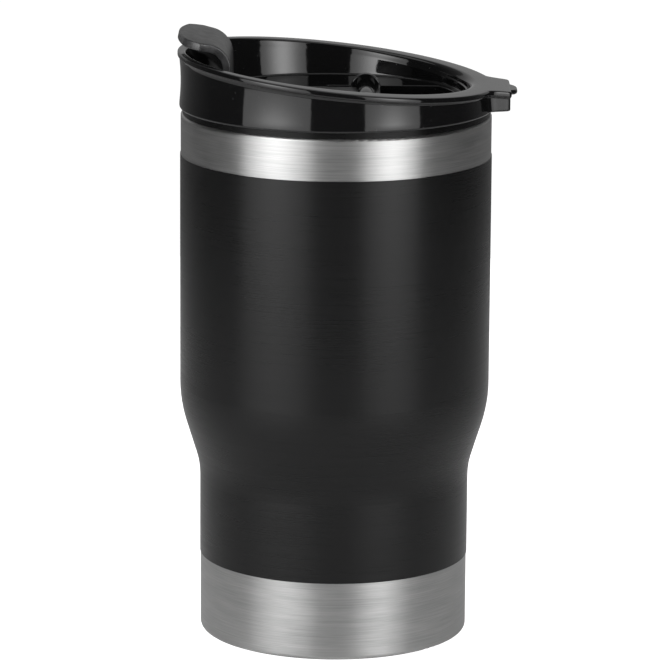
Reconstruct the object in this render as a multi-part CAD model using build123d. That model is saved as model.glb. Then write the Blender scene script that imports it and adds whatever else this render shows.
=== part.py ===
"""Insulated travel mug: a vacuum-walled steel body, a press-on slanted lid and a flip lever.

The origin is the centre of the face that the mug stands on. +Z is up, -X is the drinking side,
where the rim is highest and the lever's thumb pad hangs over it, and +X is the rear lug.
Every piece is a solid of its own, written to parts/NAME.step in millimetres.
"""
import os
from math import cos, radians, sin, sqrt, tan

from build123d import *

os.makedirs("parts", exist_ok=True)

# ---------------------------------------------------------------- steel body
body_height = 142.9        # standing face to the top of the steel lip
upper_radius = 41.88       # bare steel, upper barrel
lower_radius = 36.45       # bare steel, lower barrel that goes in a cup holder
waist_height = 42.8        # where the lower barrel ends and the flare starts
flare_slope = 17.5         # degrees from upright, the straight part of the flare
waist_blend = 22.0         # hollow arc at the bottom of the flare
shoulder_blend = 37.0      # round arc at the top of the flare
shell_wall = 0.5
base_corner = 1.2          # outside radius at the foot
lip_corner = 0.7           # outside radius at the lip

coat_thickness = 0.17
coat_bottom = 21.4         # top of the lower bare band
coat_margin = 11.2         # lip to the coat's upper edge, the upper bare band

vacuum_gap = 2.2           # between shell and liner
liner_wall = 0.4
liner_floor = 8.4          # standing face to the liner's outside floor
liner_corner = 7.0         # outside radius at the liner's floor
foil_thickness = 0.1
foil_corner_gap = 1.5      # foil starts this far above the liner's floor corner
foil_lip_gap = 9.0         # foil ends this far below the lip

base_opening = 31.0        # radius of the opening inside the turned-in foot
base_lip_height = 3.4      # height of the collar around that opening
base_plate_thickness = 0.8
port_radius = 1.5          # evacuation port
bead_radius = 3.0          # solder bead below the port
bead_height = 0.8
base_cap_thickness = 0.5
base_cap_recess = 0.6      # the cap sits this far above the standing face
base_cap_clearance = 0.05
getter_offset = 14.0
getter_radius = 4.0
getter_thickness = 1.8
strap_width = 3.0
strap_thickness = 0.3
strap_foot = 3.0

# ---------------------------------------------------------------- lid
flange_height = 1.5        # dark ring between the steel lip and the lid wall
flange_inset = 0.5         # flange stands back from the steel by this much
plug_clearance = 0.7       # liner to the plug's skirt
plug_wall = 1.4
plug_depth = 13.0          # skirt below the lip
gasket_groove_depth = 1.1
gasket_groove_height = 5.6
gasket_groove_drop = 4.2   # lip to the top of the groove
gasket_clearance = 0.05    # liner to the fins
gasket_fins = 2
gasket_fin_height = 1.2

lid_overhang = 0.37        # lid wall outside the steel at its bottom edge
lid_waist = 0.35           # how far the wall draws in half way up
lid_waist_height = 7.4     # flange to the narrowest place
lid_foot_corner = 0.6
lid_wall = 1.5
rim_rise = 12.4            # lip to the rim's top on the mug's axis
rim_tilt = 6.05            # degrees, the rim falls towards +X
rim_bead_height = 1.6
rim_bead_overhang = 0.85   # bead outside the steel
rim_bead_round = 0.5
rim_inner_round = 0.5
floor_rise = 4.5           # lip to the drinking well's floor
floor_thickness = 1.5
well_shift = 1.9           # well centre, towards the drinking side
well_floor_side = 5.3      # steel to the well at the floor, along X
well_floor_end = 6.0       # steel to the well at the floor, along Y
well_top_side = 3.2        # the same where the well is widest
well_top_end = 3.8
well_top_rise = 17.5       # lip to that widest place

lug_root = 5.0             # lug starts this far inside the steel
lug_root_width = 25.0
lug_tip_width = 20.0
lug_reach = 4.6            # lug outside the steel
lug_drop = 1.8             # lip to the lug's underside
lug_corner = 1.2
tongue_width = 11.0
tongue_reach = 2.5
tongue_thickness = 1.3
tongue_drop = 0.35         # below the rim's slanted plane
tongue_corner = 3.2

# ---------------------------------------------------------------- hinge, lever and stoppers
hinge_x = 7.95
hinge_drop = 0.6           # well floor to the pin's axis
pin_radius = 1.2
pin_fit = 0.05             # radial clearance of the barrel on the pin
ear_radius = 4.0
ear_thickness = 2.0
ear_inner = 14.5           # axis plane to an ear's inner face
ear_round = 0.35
pocket_left = 2.5          # hinge pocket starts this far on the drinking side of the axis
pocket_half_width = 17.0
pocket_depth = 4.8         # below the well floor
pocket_margin = 4.0        # pocket's round end inside the well floor's edge
seat_clearance = 0.3       # around the lever's cover plate
seat_gap = 0.2             # under the cover plate

lever_thickness = 2.2
lever_half_width = 14.3    # leg and cover plate
pad_half_width = 16.2      # thumb pad, at its widest
pad_shoulder = 5.4         # steel to where the pad starts to narrow
pad_neck = 10.0            # steel to where it has narrowed to the leg's width
pad_blend = 6.0            # rounding at both
barrel_radius = 2.8
barrel_end_gap = 0.3
pad_rise = 6.9             # rim plane's height on the axis to the top of the leg's outer corner
pad_tilt = 11.6            # degrees, the pad falls towards +X
pad_overhang = 0.45        # pad's round end outside the steel
pad_corner = 4.5
leg_top_inset = 13.7       # steel to the leg's outer corner at the top
leg_foot_inset = 14.0      # steel to the leg's outer face at the well floor
lever_bend_outer = 5.5
lever_bend_inner = 3.3
lever_foot_round = 2.6
lever_heel_round = 1.5
heel_reach = 4.0           # stop heel beyond the pin's axis
heel_thickness = 1.6
heel_angle = 10.0

drink_offset = 26.5        # pin's axis to the drink hole
drink_radius = 7.0
stopper_clearance = 0.25
stopper_depth = 4.4
stopper_band = 1.5         # straight height under the cover plate
stopper_taper = 1.2
stopper_wall = 1.2
boss_radius = 4.2          # lever's boss that the stopper is pulled over
channel_wall = 1.4
seal_ring_height = 1.0
vent_offset = 15.5         # pin's axis to the vent hole
vent_radius = 1.5
vent_stopper_clearance = 0.3
vent_stopper_depth = 1.6
vent_peg_radius = 0.6

# ---------------------------------------------------------------- heights and radii that follow
overcut = 5.0
flange_top = body_height + flange_height
floor_z = body_height + floor_rise
rim_z = body_height + rim_rise
hinge_z = floor_z - hinge_drop
mouth_radius = upper_radius - shell_wall - vacuum_gap - liner_wall
liner_outer = mouth_radius + liner_wall
plug_radius = mouth_radius - plug_clearance
plug_bottom = body_height - plug_depth
groove_radius = plug_radius - gasket_groove_depth
plug_bore = groove_radius - plug_wall
seat_z = floor_z - lever_thickness - seat_gap
pocket_z = floor_z - pocket_depth
drink_x = hinge_x - drink_offset
vent_x = hinge_x - vent_offset
leg_foot_x = leg_foot_inset - upper_radius
leg_top_x = leg_top_inset - upper_radius
leg_top_z = rim_z + pad_rise
leg_lean = (leg_foot_x - leg_top_x) / (leg_top_z - floor_z)
leg_width = lever_thickness * sqrt(1 + leg_lean ** 2)
plate_low = floor_z - lever_thickness
leg_back_x = leg_foot_x - leg_width
plate_end_x = leg_back_x + leg_lean * lever_thickness
stopper_radius = drink_radius - stopper_clearance


def spin(outline):
    """Turn a closed outline, a list of lines drawn as radius and height, about the mug's axis."""
    return revolve(make_face([Plane.XZ * line for line in outline]), Axis.Z, 360)


def ring(outer, inner, low, high):
    """Upright ring between two radii and two heights."""
    return spin([Polyline((inner, low), (outer, low), (outer, high), (inner, high), close=True)])


def disc(radius, low, high, x=0.0):
    """Upright disc or peg standing at x."""
    return Pos(x, 0, low) * Cylinder(radius, high - low, align=(Align.CENTER, Align.CENTER, Align.MIN))


def block(x_low, x_high, half_width, low, high):
    """Box that is symmetrical about the mug's middle plane."""
    size = (x_high - x_low, 2 * half_width, high - low)
    return Pos((x_low + x_high) / 2, 0, low) * Box(*size, align=(Align.CENTER, Align.CENTER, Align.MIN))


def tilted(height):
    """The rim's slanted plane, at a height measured on the mug's axis."""
    tilt = radians(rim_tilt)
    return Plane(origin=(0, 0, height), x_dir=(cos(tilt), 0, -sin(tilt)), z_dir=(sin(tilt), 0, cos(tilt)))


def below(solid, height):
    """What lies under the slanted plane at that height."""
    return split(solid, bisect_by=tilted(height), keep=Keep.BOTTOM)


def above(solid, height):
    """What lies over the slanted plane at that height."""
    return split(solid, bisect_by=tilted(height), keep=Keep.TOP)


def across(radius, half_width):
    """Round bar along Y on the hinge axis."""
    return Pos(hinge_x, 0, hinge_z) * Rot(90, 0, 0) * Cylinder(radius, 2 * half_width)


def body_wall(inset, low, high):
    """The body's side, moved inward by inset, drawn upward from one height to another."""
    slope = radians(flare_slope)
    blends = waist_blend + shoulder_blend
    straight = upper_radius - lower_radius - blends * (1 - cos(slope))
    shoulder_height = waist_height + blends * sin(slope) + straight / tan(slope)

    def waist(angle):
        reach = waist_blend + inset
        return (lower_radius + waist_blend - reach * cos(angle), waist_height + reach * sin(angle))

    def shoulder(angle):
        reach = shoulder_blend - inset
        return (upper_radius - shoulder_blend + reach * cos(angle), shoulder_height - reach * sin(angle))

    return [
        Line((lower_radius - inset, low), waist(0)),
        ThreePointArc(waist(0), waist(slope / 2), waist(slope)),
        Line(waist(slope), shoulder(slope)),
        ThreePointArc(shoulder(slope), shoulder(slope / 2), shoulder(0)),
        Line(shoulder(0), (upper_radius - inset, high)),
    ]


def wall_solid(outer_inset, inner_inset, low, high):
    """Shell of revolution between two insets of the body's side."""
    outer = body_wall(outer_inset, low, high)
    inner = body_wall(inner_inset, low, high)
    foot = Line((lower_radius - inner_inset, low), (lower_radius - outer_inset, low))
    top = Line((upper_radius - outer_inset, high), (upper_radius - inner_inset, high))
    return spin(outer + inner + [foot, top])


def filled_body(inset, low, high):
    """Everything inside the body's side."""
    ends = [
        Line((upper_radius - inset, high), (0, high)),
        Line((0, high), (0, low)),
        Line((0, low), (lower_radius - inset, low)),
    ]
    return spin(body_wall(inset, low, high) + ends)


def edges_at(solid, height, radius):
    """Round edges about the mug's axis at one height and radius."""
    found = solid.edges().filter_by(GeomType.CIRCLE)
    return found.filter_by(lambda edge: abs(edge.center().Z - height) < 0.01 and abs(edge.radius - radius) < 0.01)


# ---------------------------------------------------------------- steel body
def make_outer_shell():
    """Outer wall with its lip turned in to the liner and its foot turned in and up to a collar."""
    outside = filled_body(0, 0, body_height)
    outside = fillet(edges_at(outside, 0, lower_radius), base_corner)
    outside = fillet(edges_at(outside, body_height, upper_radius), lip_corner)
    inside = filled_body(shell_wall, shell_wall, body_height - shell_wall)
    collar = ring(base_opening + shell_wall, base_opening, 0, base_lip_height)
    shell = outside - inside
    shell -= disc(base_opening, -overcut, shell_wall + overcut)
    shell -= disc(liner_outer, body_height - overcut, body_height + overcut)
    return shell + collar


def make_powder_coat():
    """Thin coat between the two bare bands."""
    return wall_solid(-coat_thickness, 0, coat_bottom, body_height - coat_margin)


def make_inner_liner():
    """Drawn inner cup, flush with the lip."""
    inset = shell_wall + vacuum_gap
    outside = filled_body(inset, liner_floor, body_height)
    outside = fillet(edges_at(outside, liner_floor, lower_radius - inset), liner_corner)
    floor = liner_floor + liner_wall
    inside = filled_body(inset + liner_wall, floor, body_height + overcut)
    inside = fillet(edges_at(inside, floor, lower_radius - inset - liner_wall), liner_corner - liner_wall)
    return outside - inside


def make_copper_foil():
    """Radiation foil wrapped on the liner."""
    inset = shell_wall + vacuum_gap
    low = liner_floor + liner_corner + foil_corner_gap
    return wall_solid(inset - foil_thickness, inset, low, body_height - foil_lip_gap)


def make_base_plate():
    """Plate inside the collar, with the evacuation port in its middle."""
    low = base_lip_height - base_plate_thickness
    plate = disc(base_opening, low, base_lip_height)
    return plate - disc(port_radius, low - overcut, base_lip_height + overcut)


def make_vacuum_seal():
    """Solder that fills the port and spreads under the plate."""
    low = base_lip_height - base_plate_thickness
    return disc(port_radius, low, base_lip_height) + disc(bead_radius, low - bead_height, low)


def make_getter_pellet():
    """Getter on the plate, inside the vacuum."""
    return disc(getter_radius, base_lip_height, base_lip_height + getter_thickness, getter_offset)


def make_getter_strap():
    """Bent strap over the getter, spot-welded at its two feet."""
    top = base_lip_height + getter_thickness
    half = getter_radius + strap_foot
    outer = block(getter_offset - getter_radius - strap_thickness, getter_offset + getter_radius + strap_thickness,
                  strap_width / 2, base_lip_height, top + strap_thickness)
    inner = block(getter_offset - getter_radius, getter_offset + getter_radius,
                  strap_width, base_lip_height - overcut, top)
    feet = block(getter_offset - half, getter_offset + half,
                 strap_width / 2, base_lip_height, base_lip_height + strap_thickness)
    return outer + feet - inner


def make_base_cap():
    """Shallow steel cap that covers the plate and the seal."""
    radius = base_opening - base_cap_clearance
    high = base_lip_height - base_plate_thickness
    cap = disc(radius, base_cap_recess, high)
    return cap - disc(radius - base_cap_thickness, base_cap_recess + base_cap_thickness, high + overcut)


# ---------------------------------------------------------------- lid
def well(inset, floor, top):
    """The drinking well's space, an oval that widens upward, drawn in by inset."""
    rise = well_top_rise - floor_rise

    def oval(height):
        share = (height - floor_z) / rise
        side = upper_radius - well_floor_side + share * (well_floor_side - well_top_side) + inset
        end = upper_radius - well_floor_end + share * (well_floor_end - well_top_end) + inset
        return Pos(-well_shift, 0, height) * Ellipse(side, end)

    return loft([oval(floor), oval(top)])


def lid_outline():
    """Filled outer form of the lid wall, taller than the rim, before it is cut on the slant."""
    foot = upper_radius + lid_overhang
    waist_z = flange_top + lid_waist_height
    arc_low = flange_top + lid_foot_corner + 0.8
    arc_high = 2 * waist_z - arc_low
    top = rim_z + 4 * overcut
    form = spin([
        Line((0, flange_top), (foot, flange_top)),
        Line((foot, flange_top), (foot, arc_low)),
        ThreePointArc((foot, arc_low), (foot - lid_waist, waist_z), (foot, arc_high)),
        Line((foot, arc_high), (foot, top)),
        Line((foot, top), (0, top)),
        Line((0, top), (0, flange_top)),
    ])
    return fillet(edges_at(form, flange_top, foot), lid_foot_corner)


def rim_bead():
    """Slanted disc that stands out of the wall all round, rounded above and below."""
    radius = upper_radius + rim_bead_overhang
    bar = disc(radius, flange_top, rim_z + 4 * overcut)
    bead = above(below(bar, rim_z), rim_z - rim_bead_height)
    return fillet(bead.edges().filter_by(GeomType.ELLIPSE), rim_bead_round)


def rear_lug():
    """Thumb lug behind the rim, with a thin tongue at its end."""
    root_x = upper_radius - lug_root
    tip_x = upper_radius + lug_reach
    low = body_height + lug_drop
    plan = make_face(Polyline(
        (root_x, -lug_root_width / 2), (tip_x, -lug_tip_width / 2),
        (tip_x, lug_tip_width / 2), (root_x, lug_root_width / 2), close=True))
    plan = fillet(plan.vertices().filter_by(lambda corner: corner.X > tip_x - 1), lug_corner)
    lug = below(Pos(0, 0, low) * extrude(plan, 4 * overcut), rim_z)
    tongue_plan = Pos((root_x + tip_x + tongue_reach) / 2, 0, low) * RectangleRounded(
        tip_x + tongue_reach - root_x, tongue_width, tongue_corner)
    tongue = below(extrude(tongue_plan, 4 * overcut), rim_z - tongue_drop)
    return lug + above(tongue, rim_z - tongue_drop - tongue_thickness)


def well_mouth(wall):
    """The well's edge on the rim's slanted face."""
    face = wall.faces().filter_by(lambda one: abs(one.normal_at().Z) > 0.9).sort_by(Axis.Z)[-1]
    return face.inner_wires()[0].edges()


def hinge_ear(side):
    """Half-round ear that stands on the pocket's floor beside the lever."""
    middle = side * (ear_inner + ear_thickness / 2)
    head = Pos(hinge_x, middle, hinge_z) * Rot(90, 0, 0) * Cylinder(ear_radius, ear_thickness)
    head = fillet(head.edges().filter_by(GeomType.CIRCLE), ear_round)
    foot = Pos(hinge_x, middle, pocket_z) * Box(
        2 * ear_radius, ear_thickness, hinge_z - pocket_z, align=(Align.CENTER, Align.CENTER, Align.MIN))
    return head + foot


def floor_recesses(grow, drop):
    """The hinge pocket and the cover plate's seat, grown sideways and downward by the given amounts."""
    edge = upper_radius - well_floor_side - pocket_margin
    pocket = block(-pocket_left - grow, upper_radius, pocket_half_width + grow, pocket_z - drop, floor_z + overcut)
    pocket &= disc(edge + grow, pocket_z - drop, floor_z + overcut)
    seat_left = leg_back_x - seat_clearance
    seat = block(seat_left - grow, -pocket_left, lever_half_width + seat_clearance + grow,
                 seat_z - drop, floor_z + overcut)
    return pocket + seat


def make_lid_shell():
    """Upper moulding: wall, rim, well with its recesses, hinge ears, drink channel, lug and tongue."""
    form = lid_outline()
    wall = below(form, rim_z - rim_bead_height / 2) + rim_bead() + rear_lug()
    wall -= well(0, floor_z, rim_z + 3 * overcut)
    wall = fillet(well_mouth(wall), rim_inner_round)
    wall -= hollow_under_wall()
    wall -= disc(plug_radius - plug_wall, flange_top - overcut, floor_z - floor_thickness)
    recess_skin = floor_recesses(floor_thickness, floor_thickness)
    recess_skin &= disc(plug_bore - seat_clearance, pocket_z - overcut, floor_z)
    wall += recess_skin
    wall -= floor_recesses(0, 0)
    channel_low = plug_bottom + plug_wall + seal_ring_height
    wall += disc(drink_radius + channel_wall, channel_low, seat_z, drink_x)
    wall -= disc(drink_radius, channel_low - overcut, floor_z, drink_x)
    wall -= disc(vent_radius, pocket_z - 3 * overcut, floor_z, vent_x)
    for side in (-1, 1):
        wall += hinge_ear(side)
    return wall - across(pin_radius, ear_inner + ear_thickness)


def hollow_under_wall():
    """Moulding hollow between the outer wall and the well, open downward on the plug's flange."""
    outer = upper_radius + lid_overhang - lid_waist - lid_wall
    space = disc(outer, flange_top - overcut, rim_z + 4 * overcut)
    space = below(space, rim_z - rim_bead_height - lid_wall)
    return space - well(lid_wall, floor_z - floor_thickness, rim_z + 3 * overcut)


def make_lid_plug():
    """Hollow lower moulding that enters the mouth, with a flange on the lip and a gasket groove."""
    groove_top = body_height - gasket_groove_drop
    groove_low = groove_top - gasket_groove_height
    plug = ring(plug_radius, 0, plug_bottom, body_height)
    plug += ring(upper_radius - flange_inset, 0, body_height, flange_top)
    plug -= disc(plug_bore, plug_bottom + plug_wall, flange_top + overcut)
    plug -= ring(plug_radius + overcut, groove_radius, groove_low, groove_top)
    plug -= disc(drink_radius, plug_bottom - overcut, flange_top, drink_x)
    return plug - disc(vent_radius, plug_bottom - overcut, flange_top, vent_x)


def make_lid_gasket():
    """Silicone ring in the plug's groove, with round fins that seal on the liner."""
    groove_top = body_height - gasket_groove_drop
    outer = mouth_radius - gasket_clearance
    gasket = ring(plug_radius, groove_radius, groove_top - gasket_groove_height, groove_top)
    pitch = gasket_groove_height / gasket_fins
    for number in range(gasket_fins):
        low = groove_top - pitch * (number + 0.5) - gasket_fin_height / 2
        fin = ring(outer, groove_radius, low, low + gasket_fin_height)
        gasket += fillet(edges_at(fin, low, outer) + edges_at(fin, low + gasket_fin_height, outer),
                         gasket_fin_height * 0.45)
    return gasket


def make_channel_seal():
    """Silicone ring between the lid's drink channel and the plug's floor."""
    low = plug_bottom + plug_wall
    seal = disc(drink_radius + channel_wall, low, low + seal_ring_height, drink_x)
    return seal - disc(drink_radius, low - overcut, low + overcut, drink_x)


def make_hinge_pin():
    """Steel pin through both ears and the lever's barrel."""
    return across(pin_radius, ear_inner + ear_thickness)


# ---------------------------------------------------------------- lever
def lever_profile():
    """Side outline of the lever: thumb pad, leg and cover plate, one thickness all along."""
    pad_end = -upper_radius - 2 * overcut
    fall = tan(radians(pad_tilt))
    pad_end_z = leg_top_z + (leg_top_x - pad_end) * fall
    under_x = leg_top_x - leg_width + leg_lean * lever_thickness
    under_z = leg_top_z - lever_thickness + (leg_top_x - under_x) * fall
    plan = make_face(Polyline(
        (pad_end, pad_end_z), (leg_top_x, leg_top_z), (leg_foot_x, floor_z), (hinge_x, floor_z),
        (hinge_x, plate_low), (plate_end_x, plate_low), (under_x, under_z),
        (pad_end, pad_end_z - lever_thickness), close=True))

    def rounded(face, x, z, radius):
        corner = face.vertices().sort_by(lambda point: (point.X - x) ** 2 + (point.Y - z) ** 2)[0]
        return fillet(corner, radius)

    plan = rounded(plan, leg_top_x, leg_top_z, lever_bend_outer)
    plan = rounded(plan, under_x, under_z, lever_bend_inner)
    plan = rounded(plan, leg_foot_x, floor_z, lever_foot_round)
    return rounded(plan, plate_end_x, plate_low, lever_heel_round)


def lever_bar():
    """Upright bar in the lever's plan: a wide pad with a round end that follows the rim, then straight sides."""
    far = hinge_x + ear_radius + heel_reach
    left = -upper_radius - 2 * overcut
    shoulder_x = pad_shoulder - upper_radius
    neck_x = pad_neck - upper_radius
    strip = make_face(Polyline(
        (left, -pad_half_width), (shoulder_x, -pad_half_width), (neck_x, -lever_half_width),
        (far, -lever_half_width), (far, lever_half_width), (neck_x, lever_half_width),
        (shoulder_x, pad_half_width), (left, pad_half_width), close=True))
    strip = fillet(strip.vertices().filter_by(lambda point: left + 1 < point.X < far - 1), pad_blend)
    high = rim_z + 4 * overcut
    bar = extrude(Pos(0, 0, pocket_z) * strip, high - pocket_z) & disc(upper_radius + pad_overhang, pocket_z, high)
    return fillet(bar.edges().filter_by(Axis.Z).sort_by(Axis.X)[:2], pad_corner)


def make_flip_lever():
    """Lever in one moulding: pad, leg, cover plate, barrel, stop heel and the boss for the stopper."""
    side = Plane.XZ * lever_profile()
    lever = extrude(side, pad_half_width + overcut, both=True)
    lever &= lever_bar()
    barrel_half = ear_inner - barrel_end_gap
    narrow = block(-pocket_left + seat_clearance, hinge_x + 2 * overcut, 2 * upper_radius, pocket_z, floor_z + overcut)
    lever -= narrow - block(-pocket_left, hinge_x + 2 * overcut, barrel_half, pocket_z, floor_z + overcut)
    lever += across(barrel_radius, barrel_half)
    heel = Pos(heel_reach / 2, 0, 0) * Box(heel_reach, 2 * barrel_half, heel_thickness)
    lever += Pos(hinge_x, 0, hinge_z) * Rot(0, -heel_angle, 0) * heel
    lever += disc(boss_radius, plate_low - stopper_depth + stopper_wall, plate_low, drink_x)
    lever += disc(vent_peg_radius, plate_low - vent_stopper_depth / 2, plate_low, vent_x)
    return lever - across(pin_radius + pin_fit, ear_inner)


def make_drink_stopper():
    """Silicone cap pulled over the lever's boss, tapered below its band so that it swings clear."""
    band_low = plate_low - stopper_band
    low = plate_low - stopper_depth
    cap = disc(stopper_radius, band_low, plate_low, drink_x)
    cap += Pos(drink_x, 0, low) * Cone(
        stopper_radius - stopper_taper, stopper_radius, band_low - low, align=(Align.CENTER, Align.CENTER, Align.MIN))
    return cap - disc(boss_radius, low + stopper_wall, plate_low + overcut, drink_x)


def make_vent_stopper():
    """Small silicone plug on the lever's vent peg."""
    plug = disc(vent_radius - vent_stopper_clearance, plate_low - vent_stopper_depth, plate_low, vent_x)
    return plug - disc(vent_peg_radius, plate_low - vent_stopper_depth / 2, plate_low + overcut, vent_x)


export_list = {
    "outer_shell": make_outer_shell,
    "powder_coat": make_powder_coat,
    "inner_liner": make_inner_liner,
    "copper_foil": make_copper_foil,
    "base_plate": make_base_plate,
    "getter_pellet": make_getter_pellet,
    "getter_strap": make_getter_strap,
    "vacuum_seal": make_vacuum_seal,
    "base_cap": make_base_cap,
    "lid_shell": make_lid_shell,
    "lid_plug": make_lid_plug,
    "lid_gasket": make_lid_gasket,
    "channel_seal": make_channel_seal,
    "hinge_pin": make_hinge_pin,
    "flip_lever": make_flip_lever,
    "drink_stopper": make_drink_stopper,
    "vent_stopper": make_vent_stopper,
}
for name, make in export_list.items():
    piece = make()
    print(name, len(piece.solids()), round(piece.volume, 1), piece.is_valid)
    export_step(piece, f"parts/{name}.step")
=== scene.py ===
from math import asin, cos, pi, radians, sin, sqrt, tan

import bmesh
import bpy
from mathutils import Matrix, Vector


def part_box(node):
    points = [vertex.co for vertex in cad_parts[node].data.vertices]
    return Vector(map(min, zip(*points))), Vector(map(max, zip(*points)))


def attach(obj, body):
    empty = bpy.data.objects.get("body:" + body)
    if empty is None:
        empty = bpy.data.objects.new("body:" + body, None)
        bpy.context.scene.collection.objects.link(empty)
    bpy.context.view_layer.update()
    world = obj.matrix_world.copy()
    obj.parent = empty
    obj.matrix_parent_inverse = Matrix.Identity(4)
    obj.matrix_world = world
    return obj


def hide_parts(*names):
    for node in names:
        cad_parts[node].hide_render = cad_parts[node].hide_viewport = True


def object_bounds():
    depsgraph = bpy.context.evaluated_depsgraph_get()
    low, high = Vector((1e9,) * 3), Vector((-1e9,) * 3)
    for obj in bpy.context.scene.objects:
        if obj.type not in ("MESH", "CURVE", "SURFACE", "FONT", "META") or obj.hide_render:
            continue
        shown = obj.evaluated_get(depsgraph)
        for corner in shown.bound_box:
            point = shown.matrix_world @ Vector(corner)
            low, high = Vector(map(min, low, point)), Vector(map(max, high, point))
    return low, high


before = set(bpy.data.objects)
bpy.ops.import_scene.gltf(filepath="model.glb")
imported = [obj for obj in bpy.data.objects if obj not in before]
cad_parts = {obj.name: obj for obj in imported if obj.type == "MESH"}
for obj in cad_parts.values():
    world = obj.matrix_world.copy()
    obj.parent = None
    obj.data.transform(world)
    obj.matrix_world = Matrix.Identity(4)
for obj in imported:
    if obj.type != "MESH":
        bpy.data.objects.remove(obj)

cad_low, cad_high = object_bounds()

# Shapes are worked out in millimetres and made in metres. The mug stands on z = 0,
# drinks from -X and carries its thumb lug on +X.
MM = 0.001
STEEL_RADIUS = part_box("outer_shell")[1].y / MM
LIP_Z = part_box("outer_shell")[1].z / MM
WALL_FOOT_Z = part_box("lid_plug")[1].z / MM
FLOOR_Z = LIP_Z + 4.5
RIM_Z = LIP_Z + 12.4
RIM_SLANT = radians(6.05)
RIM_FALL = tan(RIM_SLANT)
PIN_LOW, PIN_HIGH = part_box("hinge_pin")
HINGE_X = (PIN_LOW.x + PIN_HIGH.x) / 2 / MM
HINGE_Z = (PIN_LOW.z + PIN_HIGH.z) / 2 / MM
POCKET_Z = FLOOR_Z - 4.8
SEAT_Z = FLOOR_Z - 2.4
STOPPER_LOW, STOPPER_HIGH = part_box("drink_stopper")
STOPPER_X = (STOPPER_LOW.x + STOPPER_HIGH.x) / 2 / MM
VENT_LOW, VENT_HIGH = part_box("vent_stopper")
VENT_X = (VENT_LOW.x + VENT_HIGH.x) / 2 / MM


# ---------------------------------------------------------------- mesh helpers
def smooth_step(low, high, value):
    share = min(1.0, max(0.0, (value - low) / (high - low)))
    return share * share * (3 - 2 * share)


def soft_max(a, b, width):
    overlap = max(width - abs(a - b), 0.0) / width
    return max(a, b) + overlap * overlap * width / 4


def soft_min(a, b, width):
    return -soft_max(-a, -b, width)


def finish_mesh(mesh, sharp=35):
    """Smooth faces, with edges kept crisp where the surface turns by more than the angle."""
    for face in mesh.polygons:
        face.use_smooth = True
    mesh.set_sharp_from_angle(angle=radians(sharp))


def add_object(name, mesh, material, body):
    piece = bpy.data.objects.new(name, mesh)
    bpy.context.scene.collection.objects.link(piece)
    mesh.materials.append(material)
    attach(piece, body)
    return piece


def mesh_from_grid(name, rings, close_rows=False, caps=False, sharp=35):
    """Quads between neighbouring rings of points. Each ring is closed; rows may close too."""
    mesh = bpy.data.meshes.new(name)
    work = bmesh.new()
    grid = [[work.verts.new(Vector(point) * MM) for point in ring] for ring in rings]
    last = len(grid) if close_rows else len(grid) - 1
    around = len(grid[0])
    for row in range(last):
        lower = grid[row]
        upper = grid[(row + 1) % len(grid)]
        for step in range(around):
            after = (step + 1) % around
            work.faces.new((lower[step], lower[after], upper[after], upper[step]))
    if caps:
        work.faces.new(list(reversed(grid[0])))
        work.faces.new(grid[-1])
    bmesh.ops.recalc_face_normals(work, faces=work.faces)
    work.to_mesh(mesh)
    work.free()
    finish_mesh(mesh, sharp)
    return mesh


def turned(name, outline, centre=(0.0, 0.0), steps=160, sharp=35):
    """Ring or disc turned about an upright axis, from a closed list of radius and height."""
    rings = []
    for step in range(steps):
        angle = 2 * pi * step / steps
        rings.append([(centre[0] + radius * cos(angle), centre[1] + radius * sin(angle), height)
                      for radius, height in outline])
    return mesh_from_grid(name, rings, close_rows=True, sharp=sharp)


def plate(name, outer, holes, low, high, round_over, place=None, sharp=40):
    """Flat plate cut to an outline with holes, its edges rounded over.

    Outlines are lists of x and y. The large faces are shaded flat and the rounding smooth.
    """
    curve = bpy.data.curves.new(name + "_outline", "CURVE")
    curve.dimensions = "2D"
    curve.fill_mode = "BOTH"
    curve.extrude = max((high - low) / 2 - round_over, 0.001) * MM
    curve.bevel_depth = round_over * MM
    curve.bevel_resolution = 3
    curve.offset = -round_over * MM
    for loop in [outer] + holes:
        spline = curve.splines.new("POLY")
        spline.points.add(len(loop) - 1)
        for point, (x, y) in zip(spline.points, loop):
            point.co = (x * MM, y * MM, 0, 1)
        spline.use_cyclic_u = True
    holder = bpy.data.objects.new(name + "_outline", curve)
    bpy.context.scene.collection.objects.link(holder)
    bpy.context.view_layer.update()
    evaluated = holder.evaluated_get(bpy.context.evaluated_depsgraph_get())
    mesh = bpy.data.meshes.new_from_object(evaluated)
    bpy.data.objects.remove(holder)
    bpy.data.curves.remove(curve)
    mesh.name = name
    work = bmesh.new()
    work.from_mesh(mesh)
    bmesh.ops.remove_doubles(work, verts=work.verts, dist=1e-6)
    bmesh.ops.translate(work, verts=work.verts, vec=(0, 0, (low + high) / 2 * MM))
    if place is not None:
        bmesh.ops.transform(work, matrix=place, verts=work.verts)
    bmesh.ops.recalc_face_normals(work, faces=work.faces)
    work.to_mesh(mesh)
    work.free()
    finish_mesh(mesh, sharp)
    flat = Vector((0, 0, 1)) if place is None else (place.to_3x3() @ Vector((0, 0, 1))).normalized()
    for face in mesh.polygons:
        face.use_smooth = abs(face.normal.dot(flat)) < 0.9995
    return mesh


def oval(side, end, x=0.0, steps=240):
    turns = [2 * pi * k / steps for k in range(steps)]
    return [(x + side * cos(turn), end * sin(turn)) for turn in turns]


def circle(radius, x=0.0, steps=96):
    return oval(radius, radius, x, steps)


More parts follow.
